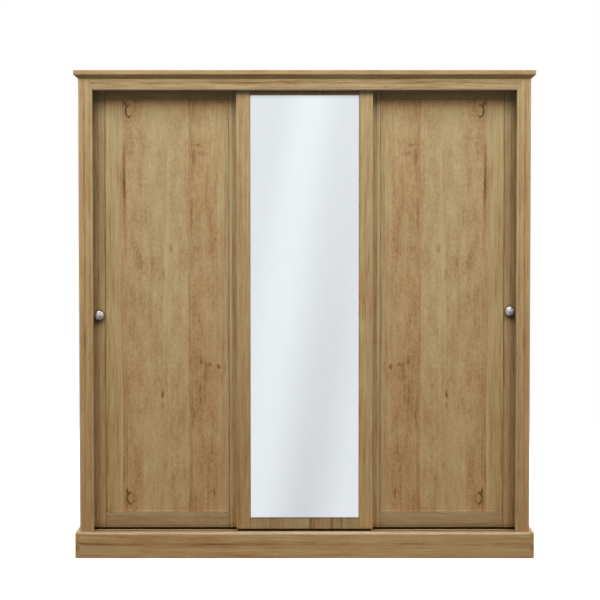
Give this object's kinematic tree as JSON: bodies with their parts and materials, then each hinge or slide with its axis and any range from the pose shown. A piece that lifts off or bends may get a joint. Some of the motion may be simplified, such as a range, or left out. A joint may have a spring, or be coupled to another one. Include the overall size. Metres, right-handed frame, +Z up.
{
  "type": "sliding wardrobe",
  "caption": "Oak-effect wardrobe with sliding doors: a central mirror door in front of two framed panel doors with round metal knobs, on a plinth, with a moulded cornice.",
  "frame": {"origin": "on the floor, under the middle of the overall box", "axes": "+Z up, the doors face -Y, +X to the right of someone facing the doors"},
  "size_m": [1.81, 0.59, 1.92],
  "materials": {
    "oak_laminate_frame": "oak-effect foil on board, satin, grain along each piece",
    "oak_laminate_panel": "oak-effect foil, satin, vertical plank figure with knots",
    "oak_laminate_board": "oak-effect melamine board, satin",
    "back_hardboard": "oak-effect paper on thin hardboard, matt",
    "mirror_glass": "silvered float glass",
    "knob_metal": "brushed satin nickel",
    "chrome_tube": "bright chrome",
    "upper_track_aluminium": "extruded, anodised",
    "lower_track_plastic": "dark brown extruded plastic",
    "roller_housing_steel": "zinc-plated sheet",
    "nylon": "moulded nylon, satin"
  },
  "bodies": {
    "wardrobe_body": {"left_side_panel": "oak_laminate_board", "right_side_panel": "oak_laminate_board", "left_face_stile": "oak_laminate_frame", "right_face_stile": "oak_laminate_frame", "face_top_rail": "oak_laminate_frame", "top_board": "oak_laminate_board", "cornice_moulding_front": "oak_laminate_frame", "cornice_moulding_left": "oak_laminate_frame", "cornice_moulding_right": "oak_laminate_frame", "plinth_front": "oak_laminate_frame", "plinth_side_left": "oak_laminate_frame", "plinth_side_right": "oak_laminate_frame", "bottom_panel": "oak_laminate_board", "back_panel": "back_hardboard", "left_partition": "oak_laminate_board", "right_partition": "oak_laminate_board", "top_shelf": "oak_laminate_board", "centre_shelf_1": "oak_laminate_board", "centre_shelf_2": "oak_laminate_board", "left_hanging_rail": "chrome_tube", "right_hanging_rail": "chrome_tube", "upper_track": "upper_track_aluminium", "lower_track_front": "lower_track_plastic", "lower_track_rear": "lower_track_plastic"},
    "left_door": {"left_door_left_stile": "oak_laminate_frame", "left_door_right_stile": "oak_laminate_frame", "left_door_top_rail": "oak_laminate_frame", "left_door_bottom_rail": "oak_laminate_frame", "left_door_panel": "oak_laminate_panel", "left_door_knob": "knob_metal", "left_door_left_roller_housing": "roller_housing_steel", "left_door_right_roller_housing": "roller_housing_steel"},
    "left_door_left_roller": {"left_door_left_roller": "nylon"},
    "left_door_left_top_guide": {"left_door_left_top_guide": "nylon"},
    "left_door_right_roller": {"left_door_right_roller": "nylon"},
    "left_door_right_top_guide": {"left_door_right_top_guide": "nylon"},
    "right_door": {"right_door_left_stile": "oak_laminate_frame", "right_door_right_stile": "oak_laminate_frame", "right_door_top_rail": "oak_laminate_frame", "right_door_bottom_rail": "oak_laminate_frame", "right_door_panel": "oak_laminate_panel", "right_door_knob": "knob_metal", "right_door_left_roller_housing": "roller_housing_steel", "right_door_right_roller_housing": "roller_housing_steel"},
    "right_door_left_roller": {"right_door_left_roller": "nylon"},
    "right_door_left_top_guide": {"right_door_left_top_guide": "nylon"},
    "right_door_right_roller": {"right_door_right_roller": "nylon"},
    "right_door_right_top_guide": {"right_door_right_top_guide": "nylon"},
    "mirror_door": {"mirror_door_left_stile": "oak_laminate_frame", "mirror_door_right_stile": "oak_laminate_frame", "mirror_door_top_rail": "oak_laminate_frame", "mirror_door_bottom_rail": "oak_laminate_frame", "mirror": "mirror_glass", "mirror_backing": "oak_laminate_board", "mirror_door_left_roller_housing": "roller_housing_steel", "mirror_door_right_roller_housing": "roller_housing_steel"},
    "mirror_door_left_roller": {"mirror_door_left_roller": "nylon"},
    "mirror_door_left_top_guide": {"mirror_door_left_top_guide": "nylon"},
    "mirror_door_right_roller": {"mirror_door_right_roller": "nylon"},
    "mirror_door_right_top_guide": {"mirror_door_right_top_guide": "nylon"}
  },
  "joints": [
    {"name": "left_door_slide", "type": "slide", "parent": "wardrobe_body", "child": "left_door", "axis": [1, 0, 0], "range_m": [0, 0.485]},
    {"name": "left_door_left_roller_spin", "type": "hinge", "parent": "left_door", "child": "left_door_left_roller", "pos_m": [-0.725, -0.1965, 0.1108], "axis": [0, 1, 0], "continuous": true},
    {"name": "left_door_left_guide_press", "type": "slide", "parent": "left_door", "child": "left_door_left_top_guide", "axis": [0, 0, -1], "range_m": [0, 0.0125], "stiffness_N_per_m": 300, "springref_m": -0.006},
    {"name": "left_door_right_roller_spin", "type": "hinge", "parent": "left_door", "child": "left_door_right_roller", "pos_m": [-0.364, -0.1965, 0.1108], "axis": [0, 1, 0], "continuous": true},
    {"name": "left_door_right_guide_press", "type": "slide", "parent": "left_door", "child": "left_door_right_top_guide", "axis": [0, 0, -1], "range_m": [0, 0.0125], "stiffness_N_per_m": 300, "springref_m": -0.006},
    {"name": "right_door_slide", "type": "slide", "parent": "wardrobe_body", "child": "right_door", "axis": [1, 0, 0], "range_m": [-0.485, 0]},
    {"name": "right_door_left_roller_spin", "type": "hinge", "parent": "right_door", "child": "right_door_left_roller", "pos_m": [0.364, -0.1965, 0.1108], "axis": [0, 1, 0], "continuous": true},
    {"name": "right_door_left_guide_press", "type": "slide", "parent": "right_door", "child": "right_door_left_top_guide", "axis": [0, 0, -1], "range_m": [0, 0.0125], "stiffness_N_per_m": 300, "springref_m": -0.006},
    {"name": "right_door_right_roller_spin", "type": "hinge", "parent": "right_door", "child": "right_door_right_roller", "pos_m": [0.725, -0.1965, 0.1108], "axis": [0, 1, 0], "continuous": true},
    {"name": "right_door_right_guide_press", "type": "slide", "parent": "right_door", "child": "right_door_right_top_guide", "axis": [0, 0, -1], "range_m": [0, 0.0125], "stiffness_N_per_m": 300, "springref_m": -0.006},
    {"name": "mirror_door_slide", "type": "slide", "parent": "wardrobe_body", "child": "mirror_door", "axis": [1, 0, 0], "range_m": [-0.576, 0.576]},
    {"name": "mirror_door_left_roller_spin", "type": "hinge", "parent": "mirror_door", "child": "mirror_door_left_roller", "pos_m": [-0.1502, -0.2445, 0.1108], "axis": [0, 1, 0], "continuous": true},
    {"name": "mirror_door_left_guide_press", "type": "slide", "parent": "mirror_door", "child": "mirror_door_left_top_guide", "axis": [0, 0, -1], "range_m": [0, 0.0125], "stiffness_N_per_m": 300, "springref_m": -0.006},
    {"name": "mirror_door_right_roller_spin", "type": "hinge", "parent": "mirror_door", "child": "mirror_door_right_roller", "pos_m": [0.1502, -0.2445, 0.1108], "axis": [0, 1, 0], "continuous": true},
    {"name": "mirror_door_right_guide_press", "type": "slide", "parent": "mirror_door", "child": "mirror_door_right_top_guide", "axis": [0, 0, -1], "range_m": [0, 0.0125], "stiffness_N_per_m": 300, "springref_m": -0.006}
  ],
  "couplings": [
    {"joint": "left_door_left_roller_spin", "follows": "left_door_slide", "rad_per_m": 66.667},
    {"joint": "left_door_right_roller_spin", "follows": "left_door_slide", "rad_per_m": 66.667},
    {"joint": "right_door_left_roller_spin", "follows": "right_door_slide", "rad_per_m": 66.667},
    {"joint": "right_door_right_roller_spin", "follows": "right_door_slide", "rad_per_m": 66.667},
    {"joint": "mirror_door_left_roller_spin", "follows": "mirror_door_slide", "rad_per_m": 66.667},
    {"joint": "mirror_door_right_roller_spin", "follows": "mirror_door_slide", "rad_per_m": 66.667}
  ]
}
